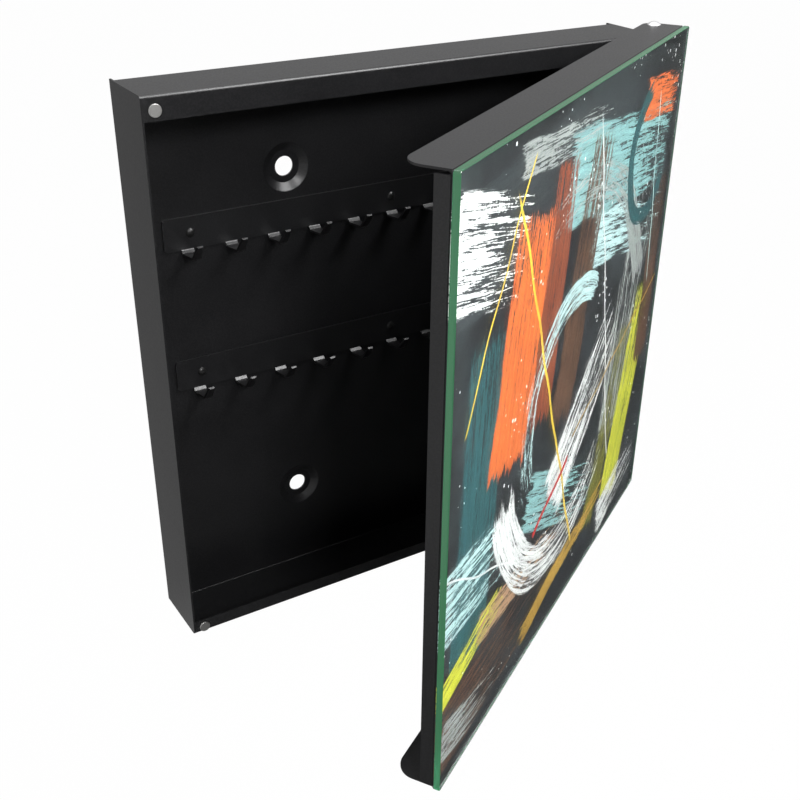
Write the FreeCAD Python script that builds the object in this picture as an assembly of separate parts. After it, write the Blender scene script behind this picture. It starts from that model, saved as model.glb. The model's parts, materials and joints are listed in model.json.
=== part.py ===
import FreeCAD, Part
import os
from math import acos, asin, degrees, sqrt
from FreeCAD import Vector

# Wall-hung key box: a folded steel case with two hook strips and a glass-fronted
# door that turns on two rivets and is held shut by two disc magnets.
# Millimetres. X to the right, Y into the wall, Z up.
# The origin is the middle of the four wall holes, on the wall plane.

# Sheet metal
sheet = 1.0
fold_radius = 0.5

# Case
case_width = 300.0
case_height = 300.0
case_depth = 39.0
back_standoff = 2.5
top_lip_height = 11.8
bottom_lip_height = 8.0

# Wall holes, each at the bottom of a pressed dimple
hole_spacing_x = 126.2
hole_spacing_z = 193.4
hole_radius = 5.2
dimple_rim_radius = 13.0
dimple_floor_radius = 8.75
dimple_flange = 1.5

# Hook strips
strip_width = 266.4
strip_height = 17.0
strip_thickness = 1.1
strip_corner_radius = 2.0
upper_strip_drop = 78.5
strip_spacing = 78.1
strip_rivet_inset = 14.5

# Hooks: a tab that slopes down from the strip's lower edge, runs forward and turns up
hook_count = 11
hook_pitch = 24.2
hook_root_width = 6.6
hook_tip_width = 3.1
hook_tip_round = 1.2
hook_bend_radius = 0.8
hook_slope_reach = 2.1
hook_slope_drop = 1.9
hook_arm_reach = 12.0
hook_arm_drop = 1.2
hook_tip_reach = 18.2
hook_tip_rise = 6.9

# Strip rivets
strip_rivet_shank = 1.6
strip_rivet_head = 2.4
strip_rivet_head_height = 1.0
strip_rivet_tail = 2.3
strip_rivet_tail_height = 1.3
rivet_hole_clearance = 0.05

# Magnets, glued to the front of the lips
magnet_radius = 3.1
magnet_thickness = 0.7
magnet_chamfer = 0.2
magnet_inset = 6.5
upper_magnet_drop = 7.0
lower_magnet_rise = 3.4
closing_gap = 0.1

# Hinge
pivot_offset = 12.5
pivot_setback = 13.6
ear_radius = 5.5
ear_front_reach = 11.0
hinge_shank = 2.0
hinge_head = 3.9
hinge_head_height = 1.75
hinge_tail = 3.1
hinge_tail_height = 0.9
hinge_running_clearance = 0.05
hinge_axial_gap = 0.05
washer_radius = 4.6
door_gap = 1.0

# Door, as it lies when shut
rest_opening = 31.66
return_side_gap = 0.5
return_depth = 7.4
flange_left_setback = 1.5
flange_depth = 22.4
flange_left_corner = 10.0
flange_right_corner = 7.0
door_past_pivot = 4.7
tray_corner_radius = 0.3

# Glass front
tape_thickness = 0.5
tape_width = 12.0
tape_inset = 0.5
print_thickness = 0.2
print_inset = 0.4
print_clearance = 0.05
glass_thickness = 3.2
glass_overhang_side = 0.25
glass_overhang_end = 0.2
glass_corner_radius = 1.5
glass_arris = 0.3

# Places that follow from the sizes above
half_width = case_width / 2
half_height = case_height / 2
inner_half_width = half_width - sheet
lip_front = -case_depth
back_front = -back_standoff - sheet
pivot_x = half_width + pivot_offset
pivot_y = lip_front + pivot_setback
upper_strip_z = half_height - upper_strip_drop
lower_strip_z = upper_strip_z - strip_spacing
strip_rivet_x = strip_width / 2 - strip_rivet_inset
tray_back = lip_front - magnet_thickness - closing_gap
tray_front = tray_back - sheet
tape_front = tray_front - tape_thickness
print_front = tape_front - print_thickness
glass_back = print_front - print_clearance
flange_outer = half_height + door_gap + sheet
flange_rear = glass_back + flange_depth
return_rear = glass_back + return_depth
return_left = -half_width - return_side_gap - sheet
flange_left = return_left + flange_left_setback
tray_right = pivot_x + door_past_pivot
glass_left = return_left - glass_overhang_side
glass_right = tray_right + glass_overhang_side
glass_half_height = flange_outer + glass_overhang_end

x_axis = Vector(1, 0, 0)
y_axis = Vector(0, 1, 0)
z_axis = Vector(0, 0, 1)


def box(low, high):
    size = high - low
    return Part.makeBox(size.x, size.y, size.z, low)


def offset_path(path, axis, distance):
    # The path moved sideways by a distance, with mitred corners
    steps = [(b - a).normalize() for a, b in zip(path, path[1:])]
    sides = [axis.cross(step) for step in steps]
    moved = []
    for index, point in enumerate(path):
        before = sides[max(index - 1, 0)]
        after = sides[min(index, len(sides) - 1)]
        mitre = (before + after) / (1 + before.dot(after))
        moved.append(point + mitre * distance)
    return moved


def rounded_outline(points, radii):
    # A closed outline with an arc at each corner that has a radius
    starts = []
    ends = []
    edges = []
    for index, point in enumerate(points):
        radius = radii[index]
        if radius == 0:
            starts.append(point)
            ends.append(point)
            continue
        back = (points[index - 1] - point).normalize()
        ahead = (points[(index + 1) % len(points)] - point).normalize()
        middle = (back + ahead).normalize()
        sine = sqrt((1 - back.dot(ahead)) / 2)
        cosine = sqrt((1 + back.dot(ahead)) / 2)
        start = point + back * (radius * cosine / sine)
        end = point + ahead * (radius * cosine / sine)
        bulge = point + middle * (radius / sine - radius)
        starts.append(start)
        ends.append(end)
        edges.append(Part.Arc(start, bulge, end).toShape())
    for index, start in enumerate(ends):
        end = starts[(index + 1) % len(points)]
        if (end - start).Length > 1e-6:
            edges.append(Part.makeLine(start, end))
    return Part.Wire(Part.__sortEdges__(edges))


def bent_sheet(path, axis, thickness, radius, outer_radius=None):
    # The section of a sheet that is folded along a path of centre-line points
    outer = radius + thickness if outer_radius is None else outer_radius
    left = offset_path(path, axis, thickness / 2)
    right = offset_path(path, axis, -thickness / 2)
    left_radii = [0]
    right_radii = [0]
    for before, point, after in zip(path, path[1:], path[2:]):
        turns_left = axis.dot((point - before).cross(after - point)) > 0
        left_radii.append(radius if turns_left else outer)
        right_radii.append(outer if turns_left else radius)
    left_radii.append(0)
    right_radii.append(0)
    outline = left + right[::-1]
    return Part.Face(rounded_outline(outline, left_radii + right_radii[::-1]))


def upright_edges(shape, x, y):
    # The edges along Z that stand at one place in plan
    found = []
    for edge in shape.Edges:
        first = edge.Vertexes[0].Point
        last = edge.Vertexes[-1].Point
        near = abs(first.x - x) + abs(first.y - y) + abs(last.x - x) + abs(last.y - y)
        if near < 0.01 and abs(first.z - last.z) > sheet / 2:
            found.append(edge)
    return found


def dome(radius, height, base, direction):
    # A slice off a ball, flat side on the base point
    ball = (radius ** 2 + height ** 2) / (2 * height)
    level = degrees(asin((ball - height) / ball))
    centre = base + direction * (height - ball)
    return Part.makeSphere(ball, centre, direction, level, 90)


def rivet(shank, head, head_height, grip, tail, tail_height):
    # Upright, with the underside of the head at z = 0
    foot = Vector(0, 0, -grip)
    pin = Part.makeCylinder(shank, grip, foot)
    ends = [dome(head, head_height, Vector(), z_axis), dome(tail, tail_height, foot, -z_axis)]
    return pin.fuse(ends).removeSplitter()


def wall_hole_places():
    for x in (-hole_spacing_x / 2, hole_spacing_x / 2):
        for z in (-hole_spacing_z / 2, hole_spacing_z / 2):
            yield Vector(x, 0, z)


def dimple():
    # A round dish in the back sheet, down to the wall plane
    level = -back_standoff - sheet / 2
    floor = -sheet / 2
    rim = dimple_rim_radius + dimple_flange
    path = [
        Vector(rim, level, 0),
        Vector(dimple_rim_radius, level, 0),
        Vector(dimple_floor_radius, floor, 0),
        Vector(hole_radius, floor, 0),
    ]
    section = bent_sheet(path, z_axis, sheet, fold_radius)
    return section.revolve(Vector(), y_axis, 360)


def ear():
    # A lug of the top sheet that carries the hinge rivet beside the case
    pivot = Vector(pivot_x, pivot_y, half_height - sheet)
    front = Vector(inner_half_width - sheet, pivot_y - ear_front_reach, pivot.z)
    rear = Vector(inner_half_width - sheet, pivot_y, pivot.z)
    corners = [front]
    for corner, side in ((front, 1), (rear, -1)):
        away = corner - pivot
        turn = side * degrees(acos(ear_radius / away.Length))
        tangent = FreeCAD.Rotation(z_axis, turn).multVec(away.normalize())
        corners.append(pivot + tangent * ear_radius)
    corners += [rear, front]
    web = Part.Face(Part.makePolygon(corners)).extrude(z_axis * sheet)
    lug = web.fuse(Part.makeCylinder(ear_radius, sheet, pivot))
    return lug.cut(hinge_hole(rivet_hole_clearance)).removeSplitter()


def hinge_hole(clearance):
    low = Vector(pivot_x, pivot_y, -flange_outer - sheet)
    return Part.makeCylinder(hinge_shank + clearance, 2 * (flange_outer + sheet), low)


def mirrored_down(shape):
    return shape.mirror(Vector(), z_axis)


def strip_rivet_places(level):
    for x in (-strip_rivet_x, 0, strip_rivet_x):
        yield Vector(x, back_front, level)


def strip_rivet_holes(level):
    holes = []
    for place in strip_rivet_places(level):
        start = place - y_axis * 2 * strip_thickness
        depth = 2 * strip_thickness + 2 * sheet
        radius = strip_rivet_shank + rivet_hole_clearance
        holes.append(Part.makeCylinder(radius, depth, start, y_axis))
    return holes


def case_shell():
    back = -back_standoff - sheet / 2
    front = lip_front + sheet / 2
    top = half_height - sheet / 2
    path = [
        Vector(-inner_half_width, front, -half_height + bottom_lip_height),
        Vector(-inner_half_width, front, -top),
        Vector(-inner_half_width, back, -top),
        Vector(-inner_half_width, back, top),
        Vector(-inner_half_width, front, top),
        Vector(-inner_half_width, front, half_height - top_lip_height),
    ]
    section = bent_sheet(path, x_axis, sheet, fold_radius)
    shell = section.extrude(x_axis * 2 * inner_half_width)
    blank_radius = dimple_rim_radius + dimple_flange
    blank = Part.makeCylinder(blank_radius, back_standoff + 2 * sheet, Vector(), -y_axis)
    dish = dimple()
    for place in wall_hole_places():
        shell = shell.cut(blank.translated(place)).fuse(dish.translated(place))
    for level in (upper_strip_z, lower_strip_z):
        shell = shell.cut(strip_rivet_holes(level))
    shell = shell.fuse([ear(), mirrored_down(ear())])
    return shell.removeSplitter()


def side_panel(low_x):
    # A flat plate whose front corners follow the folds of the case
    corners = [
        Vector(low_x, 0, -half_height),
        Vector(low_x, 0, half_height),
        Vector(low_x, lip_front, half_height),
        Vector(low_x, lip_front, -half_height),
    ]
    outer_fold = fold_radius + sheet
    outline = rounded_outline(corners, [0, 0, outer_fold, outer_fold])
    return Part.Face(outline).extrude(x_axis * sheet)


def left_side_panel():
    return side_panel(-half_width)


def right_side_panel():
    return side_panel(inner_half_width).cut([ear(), mirrored_down(ear())])


def hook():
    # Seen from the side, measured from the strip's lower edge
    middle = back_front - strip_thickness / 2
    path = [
        Vector(0, middle, strip_thickness),
        Vector(0, middle, 0),
        Vector(0, middle - hook_slope_reach, -hook_slope_drop),
        Vector(0, middle - hook_arm_reach, -hook_arm_drop),
        Vector(0, middle - hook_tip_reach, hook_tip_rise),
    ]
    side = bent_sheet(path, x_axis, strip_thickness, hook_bend_radius)
    tab = side.extrude(x_axis * hook_root_width).translated(-x_axis * hook_root_width / 2)
    root = hook_root_width / 2
    tip = hook_tip_width / 2
    shoulder = middle - hook_slope_reach
    end = middle - hook_tip_reach - strip_thickness / 2
    low = -hook_slope_drop - strip_thickness
    high = hook_tip_rise + strip_thickness
    plan = [
        Vector(root, 0, low),
        Vector(root, shoulder, low),
        Vector(tip, end, low),
        Vector(-tip, end, low),
        Vector(-root, shoulder, low),
        Vector(-root, 0, low),
    ]
    outline = rounded_outline(plan, [0, 0, hook_tip_round, hook_tip_round, 0, 0])
    return tab.common(Part.Face(outline).extrude(z_axis * (high - low)))


def hook_strip(level):
    low = level - strip_height / 2
    high = level + strip_height / 2
    corners = [
        Vector(-strip_width / 2, back_front, low),
        Vector(strip_width / 2, back_front, low),
        Vector(strip_width / 2, back_front, high),
        Vector(-strip_width / 2, back_front, high),
    ]
    outline = rounded_outline(corners, [strip_corner_radius] * 4)
    bar = Part.Face(outline).extrude(-y_axis * strip_thickness)
    bar = bar.cut(strip_rivet_holes(level))
    tab = hook()
    hooks = []
    for index in range(hook_count):
        x = (index - (hook_count - 1) / 2) * hook_pitch
        hooks.append(tab.translated(Vector(x, 0, low)))
    return bar.fuse(hooks).removeSplitter()


def strip_rivets(level):
    pin = rivet(
        strip_rivet_shank,
        strip_rivet_head,
        strip_rivet_head_height,
        strip_thickness + sheet,
        strip_rivet_tail,
        strip_rivet_tail_height,
    )
    pin.rotate(Vector(), x_axis, 90)
    seat = -y_axis * strip_thickness
    return Part.Compound([pin.translated(place + seat) for place in strip_rivet_places(level)])


def magnet(level):
    x = -half_width + magnet_inset
    disc = Part.makeCylinder(magnet_radius, magnet_thickness, Vector(x, lip_front, level), -y_axis)
    front = lip_front - magnet_thickness
    rim = [edge for edge in disc.Edges if abs(edge.BoundBox.YMax - front) < 0.01]
    return disc.makeChamfer(magnet_chamfer, rim)


def opened(shape):
    # From the shut place to the place that the photograph shows
    return shape.rotated(Vector(pivot_x, pivot_y, 0), z_axis, rest_opening)


def door_tray():
    front = tray_front + sheet / 2
    edge = flange_outer - sheet / 2
    flanged_path = [
        Vector(flange_left, flange_rear, edge),
        Vector(flange_left, front, edge),
        Vector(flange_left, front, -edge),
        Vector(flange_left, flange_rear, -edge),
    ]
    flanged = bent_sheet(flanged_path, x_axis, sheet, fold_radius, tray_corner_radius)
    flanged = flanged.extrude(x_axis * (tray_right - flange_left))
    corner = upright_edges(flanged, flange_left, flange_rear)
    flanged = flanged.makeFillet(flange_left_corner, corner)
    corner = upright_edges(flanged, tray_right, flange_rear)
    flanged = flanged.makeFillet(flange_right_corner, corner)
    left = return_left + sheet / 2
    right = tray_right - sheet / 2
    returned_path = [
        Vector(left, return_rear, -half_height),
        Vector(left, front, -half_height),
        Vector(right, front, -half_height),
        Vector(right, return_rear, -half_height),
    ]
    returned = bent_sheet(returned_path, z_axis, sheet, fold_radius, tray_corner_radius)
    returned = returned.extrude(z_axis * case_height)
    tray = flanged.fuse(returned).cut(hinge_hole(hinge_running_clearance))
    return opened(tray.removeSplitter())


def glass_tape():
    # Double-sided tape round the edge of the tray
    low = Vector(return_left + tape_inset, tape_front, -flange_outer + tape_inset)
    high = Vector(tray_right - tape_inset, tray_front, flange_outer - tape_inset)
    side_low = low + z_axis * tape_width
    side_high = high - z_axis * tape_width
    strips = [
        box(Vector(low.x, low.y, side_high.z), high),
        box(low, Vector(high.x, high.y, side_low.z)),
        box(side_low, Vector(low.x + tape_width, high.y, side_high.z)),
        box(Vector(high.x - tape_width, low.y, side_low.z), side_high),
    ]
    return opened(Part.Compound(strips))


def print_layer():
    low = Vector(glass_left + print_inset, print_front, -glass_half_height + print_inset)
    high = Vector(glass_right - print_inset, tape_front, glass_half_height - print_inset)
    return opened(box(low, high))


def glass_panel():
    corners = [
        Vector(glass_left, glass_back, -glass_half_height),
        Vector(glass_right, glass_back, -glass_half_height),
        Vector(glass_right, glass_back, glass_half_height),
        Vector(glass_left, glass_back, glass_half_height),
    ]
    outline = rounded_outline(corners, [glass_corner_radius] * 4)
    pane = Part.Face(outline).extrude(-y_axis * glass_thickness)
    rims = [edge for edge in pane.Edges if edge.BoundBox.YLength < 0.01]
    return opened(pane.makeChamfer(glass_arris, rims))


def hinge_rivet():
    grip = door_gap + 2 * sheet + hinge_axial_gap
    pin = rivet(hinge_shank, hinge_head, hinge_head_height, grip, hinge_tail, hinge_tail_height)
    return pin.translated(Vector(pivot_x, pivot_y, flange_outer + hinge_axial_gap))


def hinge_washer():
    base = Vector(pivot_x, pivot_y, half_height)
    disc = Part.makeCylinder(washer_radius, door_gap - hinge_axial_gap, base)
    return disc.cut(hinge_hole(rivet_hole_clearance))


nodes = {
    "case_shell": case_shell(),
    "left_side_panel": left_side_panel(),
    "right_side_panel": right_side_panel(),
    "upper_hook_strip": hook_strip(upper_strip_z),
    "lower_hook_strip": hook_strip(lower_strip_z),
    "upper_strip_rivets": strip_rivets(upper_strip_z),
    "lower_strip_rivets": strip_rivets(lower_strip_z),
    "upper_magnet": magnet(half_height - upper_magnet_drop),
    "lower_magnet": magnet(-half_height + lower_magnet_rise),
    "upper_hinge_rivet": hinge_rivet(),
    "lower_hinge_rivet": mirrored_down(hinge_rivet()),
    "upper_hinge_washer": hinge_washer(),
    "lower_hinge_washer": mirrored_down(hinge_washer()),
    "door_tray": door_tray(),
    "glass_tape": glass_tape(),
    "print_layer": print_layer(),
    "glass_panel": glass_panel(),
}

os.makedirs("parts", exist_ok=True)
for name, shape in nodes.items():
    shape.exportStep("parts/" + name + ".step")
    bounds = shape.BoundBox
    print(name, len(shape.Solids), shape.isValid(), round(shape.Volume, 1), bounds)
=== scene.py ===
import json
from math import pi, radians

import bpy
from mathutils import Matrix, Vector

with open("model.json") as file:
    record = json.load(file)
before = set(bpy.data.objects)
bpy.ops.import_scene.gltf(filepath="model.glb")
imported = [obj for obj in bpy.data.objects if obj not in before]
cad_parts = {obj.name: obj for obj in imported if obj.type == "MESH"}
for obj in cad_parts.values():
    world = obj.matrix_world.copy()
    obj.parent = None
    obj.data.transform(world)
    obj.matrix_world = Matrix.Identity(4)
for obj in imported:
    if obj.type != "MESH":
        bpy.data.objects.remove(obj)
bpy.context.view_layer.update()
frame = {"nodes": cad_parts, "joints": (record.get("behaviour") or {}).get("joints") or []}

nodes = frame["nodes"]
hinge = frame["joints"][0]
pivot = Vector(hinge["pos_m"])
restOpening = radians(-hinge["range_deg"][0])  # how far the door stands open at rest
mm = 0.001
cm = 0.01
materials = {}


# Node helpers

def newMaterial(name):
    material = bpy.data.materials.new(name)
    material.use_nodes = True
    tree = material.node_tree
    tree.nodes.clear()
    output = tree.nodes.new("ShaderNodeOutputMaterial")
    shader = tree.nodes.new("ShaderNodeBsdfPrincipled")
    tree.links.new(shader.outputs[0], output.inputs["Surface"])
    return material, tree, shader


def feed(tree, socket, value):
    # a socket, a number, a colour or a vector goes into the socket
    if isinstance(value, bpy.types.NodeSocket):
        tree.links.new(value, socket)
    elif isinstance(value, (int, float)):
        socket.default_value = value
    else:
        value = tuple(value)
        if socket.type == "RGBA" and len(value) == 3:
            value = value + (1.0,)
        socket.default_value = value


def calc(tree, operation, a, b=0.0, c=0.0, clamp=False):
    node = tree.nodes.new("ShaderNodeMath")
    node.operation = operation
    node.use_clamp = clamp
    for socket, value in zip(node.inputs, (a, b, c)):
        feed(tree, socket, value)
    return node.outputs[0]


def centred(tree, value, reach):
    # 0 to 1 becomes a range of that reach with zero in its middle
    return calc(tree, "MULTIPLY_ADD", value, reach, -reach / 2)


def vectorMath(tree, operation, a, b=(0, 0, 0)):
    node = tree.nodes.new("ShaderNodeVectorMath")
    node.operation = operation
    feed(tree, node.inputs[0], a)
    feed(tree, node.inputs[1], b)
    return node.outputs["Value"] if operation == "LENGTH" else node.outputs["Vector"]


def ramp(tree, value, low, high, toLow=0.0, toHigh=1.0):
    # smooth step from low to high
    node = tree.nodes.new("ShaderNodeMapRange")
    node.interpolation_type = "SMOOTHSTEP"
    feed(tree, node.inputs["Value"], value)
    for name, number in (("From Min", low), ("From Max", high), ("To Min", toLow), ("To Max", toHigh)):
        feed(tree, node.inputs[name], number)
    return node.outputs["Result"]


def mixColor(tree, mask, a, b):
    # in colour mode the node's inputs 6 and 7 are the colours, and output 2 the mixed one
    node = tree.nodes.new("ShaderNodeMix")
    node.data_type = "RGBA"
    feed(tree, node.inputs[0], mask)
    feed(tree, node.inputs[6], a)
    feed(tree, node.inputs[7], b)
    return node.outputs[2]


def noise(tree, place, scale, detail=2.0, roughness=0.5):
    node = tree.nodes.new("ShaderNodeTexNoise")
    feed(tree, node.inputs["Vector"], place)
    feed(tree, node.inputs["Scale"], scale)
    node.inputs["Detail"].default_value = detail
    node.inputs["Roughness"].default_value = roughness
    return node.outputs["Fac"]


def split(tree, vector):
    node = tree.nodes.new("ShaderNodeSeparateXYZ")
    feed(tree, node.inputs[0], vector)
    return node.outputs


def combine(tree, x=0.0, y=0.0, z=0.0):
    node = tree.nodes.new("ShaderNodeCombineXYZ")
    for socket, value in zip(node.inputs, (x, y, z)):
        feed(tree, socket, value)
    return node.outputs[0]


def objectPlace(tree):
    return tree.nodes.new("ShaderNodeTexCoord").outputs["Object"]


def turned(tree, place, centre, angle):
    node = tree.nodes.new("ShaderNodeVectorRotate")
    node.rotation_type = "Z_AXIS"
    feed(tree, node.inputs["Vector"], place)
    feed(tree, node.inputs["Center"], centre)
    feed(tree, node.inputs["Angle"], angle)
    return node.outputs[0]


def bump(tree, height, strength, distance):
    node = tree.nodes.new("ShaderNodeBump")
    feed(tree, node.inputs["Height"], height)
    node.inputs["Strength"].default_value = strength
    node.inputs["Distance"].default_value = distance
    return node.outputs[0]


def mottled(tree, shader, tone, relief, look):
    # tone leads from dark and smooth to light and rough, and relief is the bump's height
    feed(tree, shader.inputs["Base Color"], mixColor(tree, tone, look["dark"], look["light"]))
    roughness = calc(tree, "MULTIPLY_ADD", tone, look["roughnessSpread"], look["roughness"])
    feed(tree, shader.inputs["Roughness"], roughness)
    feed(tree, shader.inputs["Normal"], bump(tree, relief, look["bumpStrength"], look["bumpDistance"]))


def newGroup(name, inputs, outputs):
    group = bpy.data.node_groups.new(name, "ShaderNodeTree")
    for label, kind, value in inputs:
        socket = group.interface.new_socket(name=label, in_out="INPUT", socket_type=kind)
        if value is not None:
            socket.default_value = value
    for label, kind in outputs:
        group.interface.new_socket(name=label, in_out="OUTPUT", socket_type=kind)
    return group, group.nodes.new("NodeGroupInput").outputs, group.nodes.new("NodeGroupOutput").inputs


def useGroup(tree, group, **values):
    node = tree.nodes.new("ShaderNodeGroup")
    node.node_tree = group
    for label, value in values.items():
        feed(tree, node.inputs[label], value)
    return node.outputs


# Powder coat: a fine grain over a softer orange peel, with lighter specks and patches

powderLook = {
    "grainSize": 0.9 * mm,
    "peelSize": 2.6 * mm,
    "patchSize": 30 * mm,
    "peelHeight": 0.5,  # beside 1 for a full grain
    "speckRange": (0.38, 0.66),  # levels of the grain at which a speck begins and is complete
    "speckShare": 0.5,  # the patches have the rest
    "roughnessSpread": 0.12,
    "bumpStrength": 0.5,
    "bumpDistance": 0.045 * mm,
}
coatLook = {
    "case": {
        "dark": (0.005, 0.005, 0.0055),
        "light": (0.015, 0.015, 0.016),
        "roughness": 0.27,
        "grain": 1.0,
        "gloss": 0.3,
    },
    "door": {
        "dark": (0.005, 0.005, 0.0055),
        "light": (0.015, 0.015, 0.016),
        "roughness": 0.27,
        "grain": 1.0,
        "gloss": 0.3,
    },
    "strip": {
        "dark": (0.005, 0.005, 0.0055),
        "light": (0.014, 0.014, 0.015),
        "roughness": 0.26,
        "grain": 0.3,
        "gloss": 0.42,
    },
    "stripRivet": {
        "dark": (0.008, 0.008, 0.008),
        "light": (0.016, 0.016, 0.016),
        "roughness": 0.24,
        "grain": 0.3,
        "gloss": 0.22,
    },
}


def buildPowderGroup():
    group, given, result = newGroup(
        "powderGrain",
        [("Place", "NodeSocketVector", None), ("Grain", "NodeSocketFloat", 1.0)],
        [("Height", "NodeSocketFloat"), ("Mottle", "NodeSocketFloat")],
    )
    fine = noise(group, given["Place"], 1 / powderLook["grainSize"], detail=2.0, roughness=0.6)
    peel = noise(group, given["Place"], 1 / powderLook["peelSize"], detail=1.0)
    peelHeight = calc(group, "MULTIPLY", peel, powderLook["peelHeight"])
    group.links.new(calc(group, "MULTIPLY_ADD", fine, given["Grain"], peelHeight), result["Height"])
    patch = noise(group, given["Place"], 1 / powderLook["patchSize"], detail=3.0)
    share = powderLook["speckShare"]
    speck = calc(group, "MULTIPLY", ramp(group, fine, *powderLook["speckRange"]), share)
    group.links.new(calc(group, "MULTIPLY_ADD", patch, 1 - share, speck), result["Mottle"])
    return group


def powderCoat(name, look):
    material, tree, shader = newMaterial(name)
    coat = useGroup(tree, powderGroup, Place=objectPlace(tree), Grain=look["grain"])
    mottled(tree, shader, coat["Mottle"], coat["Height"], {**powderLook, **look})
    shader.inputs["Specular IOR Level"].default_value = look["gloss"]
    return material


powderGroup = buildPowderGroup()
for finish, look in coatLook.items():
    materials[finish] = powderCoat(finish + "Powder", look)
print("powder coats ready")


# Plated metal, washer nylon and foam tape

plateLook = {
    "hingeRivet": {
        "dark": (0.656, 0.656, 0.664),
        "light": (0.82, 0.82, 0.83),
        "roughness": 0.26,
        "cloudSize": 4 * mm,
    },
    "magnet": {
        "dark": (0.336, 0.332, 0.324),
        "light": (0.42, 0.415, 0.405),
        "roughness": 0.34,
        "cloudSize": 1.2 * mm,
    },
}
plateWear = {"roughnessSpread": 0.12, "bumpStrength": 0.15, "bumpDistance": 0.03 * mm}

plasticLook = {
    "washer": {
        "dark": (0.02, 0.02, 0.02),
        "light": (0.035, 0.035, 0.035),
        "roughness": 0.4,
        "cellSize": 1 * mm,
        "bumpDistance": 0.01 * mm,
    },
    "tape": {
        "dark": (0.007, 0.007, 0.007),
        "light": (0.016, 0.016, 0.016),
        "roughness": 0.7,
        "cellSize": 0.25 * mm,
        "bumpDistance": 0.08 * mm,
    },
}
plasticWear = {"roughnessSpread": 0.2, "bumpStrength": 0.3}


def platedMetal(name, look):
    material, tree, shader = newMaterial(name)
    cloud = noise(tree, objectPlace(tree), 1 / look["cloudSize"], detail=4.0, roughness=0.6)
    mottled(tree, shader, cloud, cloud, {**plateWear, **look})
    shader.inputs["Metallic"].default_value = 1.0
    return material


def softPlastic(name, look):
    material, tree, shader = newMaterial(name)
    cells = noise(tree, objectPlace(tree), 1 / look["cellSize"])
    mottled(tree, shader, cells, cells, {**plasticWear, **look})
    return material


materials["hingeRivet"] = platedMetal("rivetPlate", plateLook["hingeRivet"])
materials["magnet"] = platedMetal("magnetNickel", plateLook["magnet"])
materials["washer"] = softPlastic("washerNylon", plasticLook["washer"])
materials["tape"] = softPlastic("foamTape", plasticLook["tape"])
print("metal and plastic ready")


# The print: a free pattern of dry-brush strokes, rings and thin lines, in centimetres
# from the pane's lower left corner

inks = {
    "charcoal": (0.010, 0.012, 0.014),
    "slate": (0.030, 0.038, 0.042),
    "white": (0.84, 0.86, 0.85),
    "ash": (0.34, 0.37, 0.36),
    "teal": (0.24, 0.46, 0.46),
    "ice": (0.50, 0.72, 0.72),
    "deepTeal": (0.020, 0.095, 0.105),
    "orange": (0.70, 0.15, 0.025),
    "rust": (0.24, 0.055, 0.020),
    "umber": (0.105, 0.052, 0.028),
    "tan": (0.40, 0.24, 0.14),
    "lime": (0.58, 0.60, 0.035),
    "olive": (0.17, 0.17, 0.020),
    "ochre": (0.48, 0.29, 0.045),
    "gold": (0.88, 0.62, 0.05),
    "red": (0.62, 0.012, 0.010),
}

# ink, middle, angle in degrees, length, width, dryness
strokes = [
    ("slate", (9, 27), 4, 22, 5.5, 0.45),
    ("ash", (25.5, 17.0), 81, 20, 5.0, 0.66),
    ("deepTeal", (3.4, 14.0), 86, 17, 4.4, 0.42),
    ("white", (3.8, 26.2), -14, 8.5, 5.0, 0.62),
    ("umber", (7.5, 3.4), 3, 18, 4.6, 0.64),
    ("tan", (10.5, 6.4), -4, 13, 2.0, 0.62),
    ("ash", (4.6, 2.2), -7, 9, 2.4, 0.68),
    ("slate", (25, 5), -8, 20, 7.0, 0.55),
    ("ice", (4.4, 10.4), -3, 9.5, 4.2, 0.66),
    ("teal", (21.5, 25.4), -7, 18, 4.8, 0.52),
    ("ice", (24.0, 21.0), -11, 14, 3.0, 0.62),
    ("umber", (16.0, 20.6), 76, 15, 3.4, 0.46),
    ("rust", (11.8, 21.4), 82, 13, 3.0, 0.42),
    ("orange", (7.8, 20.4), 79, 12, 4.8, 0.42),
    ("teal", (16.2, 7.8), -24, 14, 3.4, 0.60),
    ("lime", (27.2, 9.2), 74, 14, 3.6, 0.48),
    ("olive", (23.6, 8.6), 70, 13, 2.6, 0.55),
    ("ochre", (17.5, 3.0), 9, 14, 1.3, 0.45),
    ("white", (18.6, 12.4), 38, 12, 4.4, 0.60),
    ("lime", (3.6, 6.4), 12, 8, 1.6, 0.56),
    ("umber", (29.8, 16.5), 88, 12, 2.6, 0.50),
    ("orange", (28.0, 27.4), -5, 6.5, 2.4, 0.52),
    ("white", (27.4, 2.6), 14, 8, 2.8, 0.64),
    ("ash", (13.0, 28.6), -3, 13, 1.6, 0.62),
]

# ink, centre, radius, width, start angle, sweep, dryness
rings = [
    ("ash", (15.5, 14.0), 11.6, 2.0, 15, 100, 0.60),
    ("white", (15.5, 14.0), 9.0, 2.8, 190, 130, 0.56),
    ("ice", (15.5, 14.0), 6.2, 1.6, 60, 150, 0.58),
    ("deepTeal", (26.5, 24.5), 3.6, 1.0, 100, 230, 0.35),
]

# ink, middle, angle, length, width
hairlines = [
    ("gold", (12.4, 15.5), -64, 27, 0.22),
    ("white", (20.8, 17.0), -72, 24, 0.16),
    ("white", (6.0, 9.4), -27, 15, 0.12),
    ("ochre", (24.0, 13.4), 17, 15, 0.18),
    ("gold", (4.8, 24.0), 58, 12, 0.14),
    ("red", (13.8, 9.0), 24, 5.5, 0.36),
    ("ice", (28.4, 22.0), -80, 12, 0.14),
]

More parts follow.
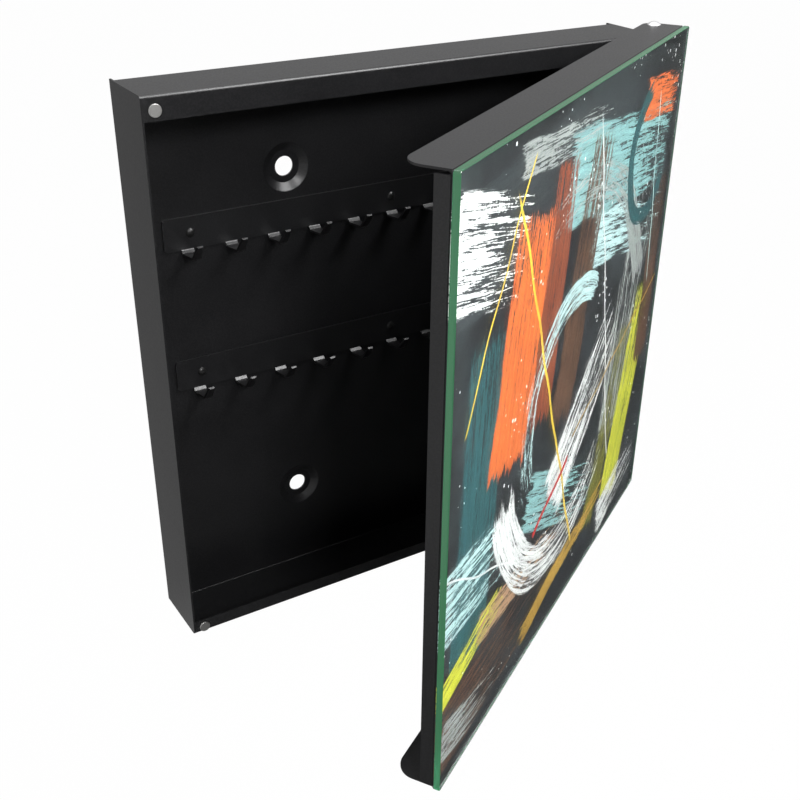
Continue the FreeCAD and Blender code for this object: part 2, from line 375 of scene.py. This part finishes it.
printLook = {
    "groundGrain": 0.16,  # clouds per centimetre
    "groundRange": (0.4, 0.65),
    "hairlineDryness": 0.05,
    "roughness": 0.6,
    "seeds": {"stroke": (0, 7.3), "ring": (200, 5.1), "hairline": (90, 3.7)},  # first one and step
}
brushLook = {
    # streaks per centimetre along and across the stroke, and each kind's share of the paint
    "bristle": {"grain": (0.22, 4.5), "detail": 3.0, "roughness": 0.65, "share": 0.55},
    "fine": {"grain": (0.9, 16.0), "detail": 1.0, "roughness": 0.5, "share": 0.3},
    "crumb": {"grain": (5.0, 7.0), "detail": 1.0, "roughness": 0.5, "share": 0.15},
    # how far the stroke sways sideways, in centimetres
    "swayGrain": 0.25,
    "swayOffset": 3.0,
    "swayReach": 0.7,
    # edges, as shares of half the length and half the width
    "raggedEnds": 0.5,
    "raggedSides": 0.24,
    "fullLength": 0.96,
    "fullWidth": 0.93,
    # the ground shows where the paint is below this level, which rises with dryness and along the stroke
    "bareLevel": 0.2,
    "bareByDryness": 0.5,
    "bareAlong": 0.16,
    "bareSoftness": 0.025,
    "thinShade": (0.6, 0.6, 0.62),
    "thickShade": (1.16, 1.16, 1.14),
    "shadeRange": (0.32, 0.7),
}
dropLook = {
    "grain": 3.2,  # cells per centimetre, a drop in each at most
    "size": 0.34,
    "sizePower": 3.0,  # makes most drops small
    "cloudGrain": 0.18,
    "cloudRange": (0.5, 0.62),
}
handOn = 1e-7  # the next stroke waits for this one's mask, so that few values are held at once


def streaks(group, along, across, seed, look):
    alongGrain, acrossGrain = look["grain"]
    x = calc(group, "MULTIPLY", along, alongGrain)
    y = calc(group, "MULTIPLY", across, acrossGrain)
    return noise(group, combine(group, x, y, seed), 1.0, look["detail"], look["roughness"])


def farOut(group, distance, size):
    # distance from the middle as a share of half the size
    away = calc(group, "ABSOLUTE", distance)
    return calc(group, "DIVIDE", away, calc(group, "MULTIPLY", size, 0.5))


def brushMask(group, along, across, given):
    # bristle streaks that thin out towards the stroke's end, inside ragged edges
    seed = given["Seed"]
    bristle = streaks(group, along, across, seed, brushLook["bristle"])
    fine = streaks(group, along, across, seed, brushLook["fine"])
    crumb = streaks(group, along, across, seed, brushLook["crumb"])
    paint = calc(group, "MULTIPLY", crumb, brushLook["crumb"]["share"])
    paint = calc(group, "MULTIPLY_ADD", fine, brushLook["fine"]["share"], paint)
    paint = calc(group, "MULTIPLY_ADD", bristle, brushLook["bristle"]["share"], paint)

    swayAlong = calc(group, "MULTIPLY", along, brushLook["swayGrain"])
    sway = noise(group, combine(group, swayAlong, brushLook["swayOffset"], seed), 1.0, detail=0.0)
    swayed = calc(group, "ADD", across, centred(group, sway, brushLook["swayReach"]))
    farAlong = farOut(group, along, given["Length"])
    farAcross = farOut(group, swayed, given["Width"])
    ends = calc(group, "ADD", farAlong, centred(group, bristle, brushLook["raggedEnds"]))
    sides = calc(group, "ADD", farAcross, centred(group, fine, brushLook["raggedSides"]))
    withinEnds = ramp(group, ends, 1.0, brushLook["fullLength"])
    inside = calc(group, "MULTIPLY", withinEnds, ramp(group, sides, 1.0, brushLook["fullWidth"]))

    progress = calc(group, "ADD", calc(group, "DIVIDE", along, given["Length"]), 0.5, clamp=True)
    drier = centred(group, progress, brushLook["bareAlong"])
    level = calc(group, "MULTIPLY_ADD", given["Dry"], brushLook["bareByDryness"], brushLook["bareLevel"])
    limit = calc(group, "ADD", level, drier)
    bare = calc(group, "SUBTRACT", limit, brushLook["bareSoftness"])
    cover = ramp(group, paint, bare, calc(group, "ADD", limit, brushLook["bareSoftness"]))
    return calc(group, "MULTIPLY", inside, cover), paint


brushInputs = [
    ("Color", "NodeSocketColor", None),
    ("Place", "NodeSocketVector", None),
    ("Ink", "NodeSocketColor", None),
    ("Centre", "NodeSocketVector", None),
    ("Angle", "NodeSocketFloat", 0.0),
    ("Length", "NodeSocketFloat", 10.0),
    ("Width", "NodeSocketFloat", 2.0),
    ("Dry", "NodeSocketFloat", 0.5),
    ("Seed", "NodeSocketFloat", 0.0),
]
brushOutputs = [("Color", "NodeSocketColor"), ("Place", "NodeSocketVector")]


def layInk(group, given, result, along, across):
    mask, tone = brushMask(group, along, across, given)
    thin = vectorMath(group, "MULTIPLY", given["Ink"], brushLook["thinShade"])
    thick = vectorMath(group, "MULTIPLY", given["Ink"], brushLook["thickShade"])
    shade = mixColor(group, ramp(group, tone, *brushLook["shadeRange"]), thin, thick)
    group.links.new(mixColor(group, mask, given["Color"], shade), result["Color"])
    nudge = calc(group, "MULTIPLY", mask, handOn)
    moved = vectorMath(group, "ADD", given["Place"], combine(group, nudge, nudge, nudge))
    group.links.new(moved, result["Place"])


def fromCentre(group, given):
    # the place measured from the stroke's centre, with X along the stroke
    back = calc(group, "MULTIPLY", given["Angle"], -1.0)
    laid = turned(group, given["Place"], given["Centre"], back)
    return vectorMath(group, "SUBTRACT", laid, given["Centre"])


def buildStrokeGroup():
    group, given, result = newGroup("brushStroke", brushInputs, brushOutputs)
    along, across = split(group, fromCentre(group, given))[:2]
    layInk(group, given, result, along, across)
    return group


def buildRingGroup():
    inputs = brushInputs + [("Radius", "NodeSocketFloat", 5.0)]
    group, given, result = newGroup("brushRing", inputs, brushOutputs)
    offset = fromCentre(group, given)
    x, y = split(group, offset)[:2]
    along = calc(group, "MULTIPLY", calc(group, "ARCTAN2", y, x), given["Radius"])
    across = calc(group, "SUBTRACT", vectorMath(group, "LENGTH", offset), given["Radius"])
    layInk(group, given, result, along, across)
    return group


def buildSpatterGroup():
    # small drops of paint, thick in some places and absent in others
    inputs = [
        ("Place", "NodeSocketVector", None),
        ("Scale", "NodeSocketFloat", 2.0),
        ("Amount", "NodeSocketFloat", 0.3),
    ]
    group, given, result = newGroup("spatter", inputs, [("Mask", "NodeSocketFloat")])
    cells = group.nodes.new("ShaderNodeTexVoronoi")
    feed(group, cells.inputs["Vector"], given["Place"])
    feed(group, cells.inputs["Scale"], given["Scale"])
    pick = split(group, cells.outputs["Color"])[0]
    cloud = noise(group, given["Place"], dropLook["cloudGrain"])
    size = calc(group, "POWER", pick, dropLook["sizePower"])
    size = calc(group, "MULTIPLY", size, ramp(group, cloud, *dropLook["cloudRange"]))
    reach = calc(group, "MULTIPLY", size, given["Amount"])
    group.links.new(calc(group, "LESS_THAN", cells.outputs["Distance"], reach), result["Mask"])
    return group


def shutBox(name):
    # the box of a door node in the shut door's place
    back = Matrix.Translation(pivot) @ Matrix.Rotation(-restOpening, 4, "Z") @ Matrix.Translation(-pivot)
    points = [back @ v.co for v in nodes[name].data.vertices]
    low = Vector([min(p[i] for p in points) for i in range(3)])
    high = Vector([max(p[i] for p in points) for i in range(3)])
    return low, high


def shutPlace(tree):
    # X and Z of a place on the door once the door is shut
    place = split(tree, turned(tree, objectPlace(tree), pivot, -restOpening))
    return place["X"], place["Z"]


def brushSeed(kind, number):
    first, step = printLook["seeds"][kind]
    return first + number * step


def artPrint():
    material, tree, shader = newMaterial("printInk")
    strokeGroup, ringGroup, spatterGroup = buildStrokeGroup(), buildRingGroup(), buildSpatterGroup()
    corner = paneBox[0]
    x, z = shutPlace(tree)
    across = calc(tree, "DIVIDE", calc(tree, "SUBTRACT", x, corner.x), cm)
    up = calc(tree, "DIVIDE", calc(tree, "SUBTRACT", z, corner.z), cm)
    place = combine(tree, across, up)
    clouds = noise(tree, place, printLook["groundGrain"], detail=4.0, roughness=0.6)
    ground = ramp(tree, clouds, *printLook["groundRange"])
    color = mixColor(tree, ground, inks["charcoal"], inks["slate"])

    def paint(group, ink, middle, angle, length, width, dry, seed, **more):
        painted = useGroup(
            tree, group, Color=color, Place=place, Ink=inks[ink], Centre=(*middle, 0), Angle=radians(angle),
            Length=length, Width=width, Dry=dry, Seed=seed, **more,
        )
        return painted["Color"], painted["Place"]

    for number, stroke in enumerate(strokes):
        color, place = paint(strokeGroup, *stroke, brushSeed("stroke", number))
    for number, (ink, middle, radius, width, start, sweep, dry) in enumerate(rings):
        angle = start + sweep / 2
        length = radians(sweep) * radius
        seed = brushSeed("ring", number)
        color, place = paint(ringGroup, ink, middle, angle, length, width, dry, seed, Radius=radius)
    for number, line in enumerate(hairlines):
        seed = brushSeed("hairline", number)
        color, place = paint(strokeGroup, *line, printLook["hairlineDryness"], seed)
    drops = useGroup(tree, spatterGroup, Place=place, Scale=dropLook["grain"], Amount=dropLook["size"])
    feed(tree, shader.inputs["Base Color"], mixColor(tree, drops["Mask"], color, inks["white"]))
    shader.inputs["Roughness"].default_value = printLook["roughness"]
    return material


# Float glass: clear through its faces, green along its ground rim, with a painted green glow on the rim's
# outer side

glassLook = {
    "clear": (0.97, 0.99, 0.98),
    "ior": 1.5,
    "rimTint": (0.004, 0.17, 0.05),
    # painted green glow of the rim, standing in for light carried through the pane to its edge
    "rimPaintedGlow": (0.034, 0.150, 0.066),
    "rimDepth": 0.45 * mm,
    "rimRoughness": 0.25,
}


def paneGlass():
    material, tree, shader = newMaterial("paneGlass")
    shader.inputs["Transmission Weight"].default_value = 1.0
    shader.inputs["IOR"].default_value = glassLook["ior"]
    low, high = paneBox
    x, z = shutPlace(tree)
    across = calc(tree, "ABSOLUTE", calc(tree, "SUBTRACT", x, (low.x + high.x) / 2))
    up = calc(tree, "ABSOLUTE", calc(tree, "SUBTRACT", z, (low.z + high.z) / 2))
    overSide = calc(tree, "SUBTRACT", across, (high.x - low.x) / 2 - glassLook["rimDepth"])
    overEnd = calc(tree, "SUBTRACT", up, (high.z - low.z) / 2 - glassLook["rimDepth"])
    rim = calc(tree, "GREATER_THAN", calc(tree, "MAXIMUM", overSide, overEnd), 0.0)
    feed(tree, shader.inputs["Base Color"], mixColor(tree, rim, glassLook["clear"], glassLook["rimTint"]))
    feed(tree, shader.inputs["Roughness"], calc(tree, "MULTIPLY", rim, glassLook["rimRoughness"]))

    # painted glow: only the rim's outer side gives off a green light of its own, in place of the light that
    # a real pane carries to its edge
    backfacing = tree.nodes.new("ShaderNodeNewGeometry").outputs["Backfacing"]
    outside = calc(tree, "MULTIPLY", rim, calc(tree, "SUBTRACT", 1.0, backfacing))
    feed(tree, shader.inputs["Emission Color"], mixColor(tree, outside, (0, 0, 0), glassLook["rimPaintedGlow"]))
    shader.inputs["Emission Strength"].default_value = 1.0

    # the pane casts no shadow on the print behind it
    lightPath = tree.nodes.new("ShaderNodeLightPath")
    feed(tree, shader.inputs["Alpha"], calc(tree, "SUBTRACT", 1.0, lightPath.outputs["Is Shadow Ray"]))
    return material


paneBox = shutBox("glass_panel")
materials["glass"] = paneGlass()
materials["print"] = artPrint()
print("glass and print ready")

dress = {
    "case_shell": "case",
    "left_side_panel": "case",
    "right_side_panel": "case",
    "upper_hook_strip": "strip",
    "lower_hook_strip": "strip",
    "upper_strip_rivets": "stripRivet",
    "lower_strip_rivets": "stripRivet",
    "upper_magnet": "magnet",
    "lower_magnet": "magnet",
    "upper_hinge_rivet": "hingeRivet",
    "lower_hinge_rivet": "hingeRivet",
    "upper_hinge_washer": "washer",
    "lower_hinge_washer": "washer",
    "door_tray": "door",
    "glass_tape": "tape",
    "print_layer": "print",
    "glass_panel": "glass",
}
for name, finish in dress.items():
    for slot in nodes[name].material_slots:
        slot.material = materials[finish]
print("nodes dressed")


# Camera

cameraView = {
    "place": Vector((-320.054, -529.276, 269.871)) * mm,
    "yaw": radians(32.438),
    "pitch": radians(29.659),
    "roll": radians(0.790),
    "lens": 51.419,
    "sensorWidth": 36,
    "shift": (-0.01062, 0.04285),
    "clipStart": 0.01,
}


def addObject(name, data):
    added = bpy.data.objects.new(name, data)
    bpy.context.scene.collection.objects.link(added)
    return added


def placeCamera(view):
    data = bpy.data.cameras.new("camera")
    data.lens = view["lens"]
    data.sensor_width = view["sensorWidth"]
    data.shift_x, data.shift_y = view["shift"]
    data.clip_start = view["clipStart"]
    camera = addObject("camera", data)
    turn = Matrix.Rotation(-view["yaw"], 4, "Z") @ Matrix.Rotation(pi / 2 - view["pitch"], 4, "X")
    camera.matrix_world = Matrix.Translation(view["place"]) @ turn @ Matrix.Rotation(view["roll"], 4, "Z")
    bpy.context.scene.camera = camera


placeCamera(cameraView)


# Floor, world, flags and lamps

surroundLook = {"white": 1.0, "ambient": 0.08}
floorLook = {
    "level": -0.6,
    "size": 12.0,
    "color": (0.88, 0.88, 0.88),
    "roughness": 0.9,
    "whiteShare": 0.985,  # where it is seen, the rest is the floor's own shading
}

# a flag is a card that only mirroring faces see: dark for the pane and the flat faces, bright for the folds
flagLook = {
    "color": (0.01, 0.01, 0.01),
    "edgeFade": 0.14,  # share of a side over which the flag fades out to the surround's white
}
flags = {
    "rightFlag": {
        "corners": [(-0.047, -1.9, -0.72), (-0.047, 0.5, -0.72), (1.0, 0.8, 0.28), (1.0, -1.9, 0.28)],
        "glow": 0.0,
    },
    "nearFlag": {
        "corners": [(-0.9, -1.8, -0.585), (0.5, -1.8, -0.585), (0.5, 0.4, -0.585), (-0.9, 0.4, -0.585)],
        "glow": 0.25,
    },
    "rearFlag": {
        "corners": [(-0.9, 0.3, -0.58), (0.1, 0.3, -0.58), (0.0, 1.3, 0.1), (-1.4, 1.3, 0.1)],
        "glow": 0.35,
    },
    "backFlag": {
        "corners": [(-0.2, 1.5, 0.12), (3.0, 1.0, 0.12), (3.0, 1.0, 1.3), (-0.2, 1.5, 1.3)],
        "glow": 0.45,
    },
    "highCard": {
        "corners": [(0.2, -1.75, 0.85), (1.3, -1.5, 0.75), (1.25, -0.75, 1.25), (0.2, -0.95, 1.5)],
        "glow": 18.0,
    },
}
lamps = {
    "overhead": {"place": (0.1, 0.3, 1.6), "aim": (0, 0, 0), "size": 1.0, "watts": 12},
    "front": {"place": (-0.33, -1.5, 0.85), "aim": (0, 0, 0), "size": 0.35, "watts": 16},
    "high": {"place": (0.60, -0.66, 1.33), "aim": (0, 0, 0), "size": 0.6, "watts": 26},
}


def addQuad(name, corners):
    mesh = bpy.data.meshes.new(name)
    mesh.from_pydata(corners, [], [(0, 1, 2, 3)])
    return addObject(name, mesh)


def seenWhite(tree):
    # 1 for rays from the camera, off a mirroring face or through the glass, and 0 for the others
    path = tree.nodes.new("ShaderNodeLightPath").outputs
    passedOn = calc(tree, "MAXIMUM", path["Is Glossy Ray"], path["Is Transmission Ray"])
    return calc(tree, "MAXIMUM", path["Is Camera Ray"], passedOn)


def addFloor():
    half, level = floorLook["size"] / 2, floorLook["level"]
    corners = [(-half, -half, level), (half, -half, level), (half, half, level), (-half, half, level)]
    floor = addQuad("floor", corners)
    material, tree, shader = newMaterial("floorWhite")
    feed(tree, shader.inputs["Base Color"], floorLook["color"])
    shader.inputs["Roughness"].default_value = floorLook["roughness"]
    seen = seenWhite(tree)
    glow = tree.nodes.new("ShaderNodeEmission")
    feed(tree, glow.inputs["Strength"], surroundLook["white"])
    mix = tree.nodes.new("ShaderNodeMixShader")
    feed(tree, mix.inputs[0], calc(tree, "MULTIPLY", seen, floorLook["whiteShare"]))
    tree.links.new(shader.outputs[0], mix.inputs[1])
    tree.links.new(glow.outputs[0], mix.inputs[2])
    output = next(n for n in tree.nodes if n.type == "OUTPUT_MATERIAL")
    tree.links.new(mix.outputs[0], output.inputs["Surface"])
    floor.data.materials.append(material)


def fromEdge(tree, side):
    # how far in from the nearer end of a side that runs from 0 to 1
    fromMiddle = calc(tree, "ABSOLUTE", calc(tree, "SUBTRACT", side, 0.5))
    return calc(tree, "SUBTRACT", 0.5, fromMiddle)


def addFlag(name, look):
    flag = addQuad(name, look["corners"])
    spread = flag.data.uv_layers.new(name="spread")
    for loop, corner in zip(spread.data, ((0, 0), (1, 0), (1, 1), (0, 1))):
        loop.uv = corner
    material, tree, shader = newMaterial(name)
    feed(tree, shader.inputs["Base Color"], flagLook["color"])
    shader.inputs["Roughness"].default_value = 1.0
    shader.inputs["Specular IOR Level"].default_value = 0.0
    feed(tree, shader.inputs["Emission Color"], (1, 1, 1))
    u, v = split(tree, tree.nodes.new("ShaderNodeTexCoord").outputs["UV"])[:2]
    inward = calc(tree, "MINIMUM", fromEdge(tree, u), fromEdge(tree, v))
    fade = ramp(tree, inward, 0.0, flagLook["edgeFade"], surroundLook["white"], look["glow"])
    feed(tree, shader.inputs["Emission Strength"], fade)
    flag.data.materials.append(material)
    flag.visible_camera = False
    flag.visible_shadow = False
    flag.visible_diffuse = False


def addWorld():
    world = bpy.data.worlds.new("studio")
    bpy.context.scene.world = world
    world.use_nodes = True
    tree = world.node_tree
    tree.nodes.clear()
    seen = seenWhite(tree)
    background = tree.nodes.new("ShaderNodeBackground")
    feed(tree, background.inputs["Color"], (1, 1, 1))
    ambient = surroundLook["ambient"]
    strength = calc(tree, "MULTIPLY_ADD", seen, surroundLook["white"] - ambient, ambient)
    feed(tree, background.inputs["Strength"], strength)
    output = tree.nodes.new("ShaderNodeOutputWorld")
    tree.links.new(background.outputs[0], output.inputs["Surface"])


def addLamp(name, look):
    data = bpy.data.lights.new(name, "AREA")
    data.size = look["size"]
    data.energy = look["watts"]
    lamp = addObject(name, data)
    place = Vector(look["place"])
    aim = Vector(look["aim"]) - place
    lamp.matrix_world = Matrix.Translation(place) @ aim.to_track_quat("-Z", "Y").to_matrix().to_4x4()


addFloor()
for name, look in flags.items():
    addFlag(name, look)
addWorld()
for name, look in lamps.items():
    addLamp(name, look)

bpy.context.scene.view_settings.view_transform = "Standard"
print("studio ready")
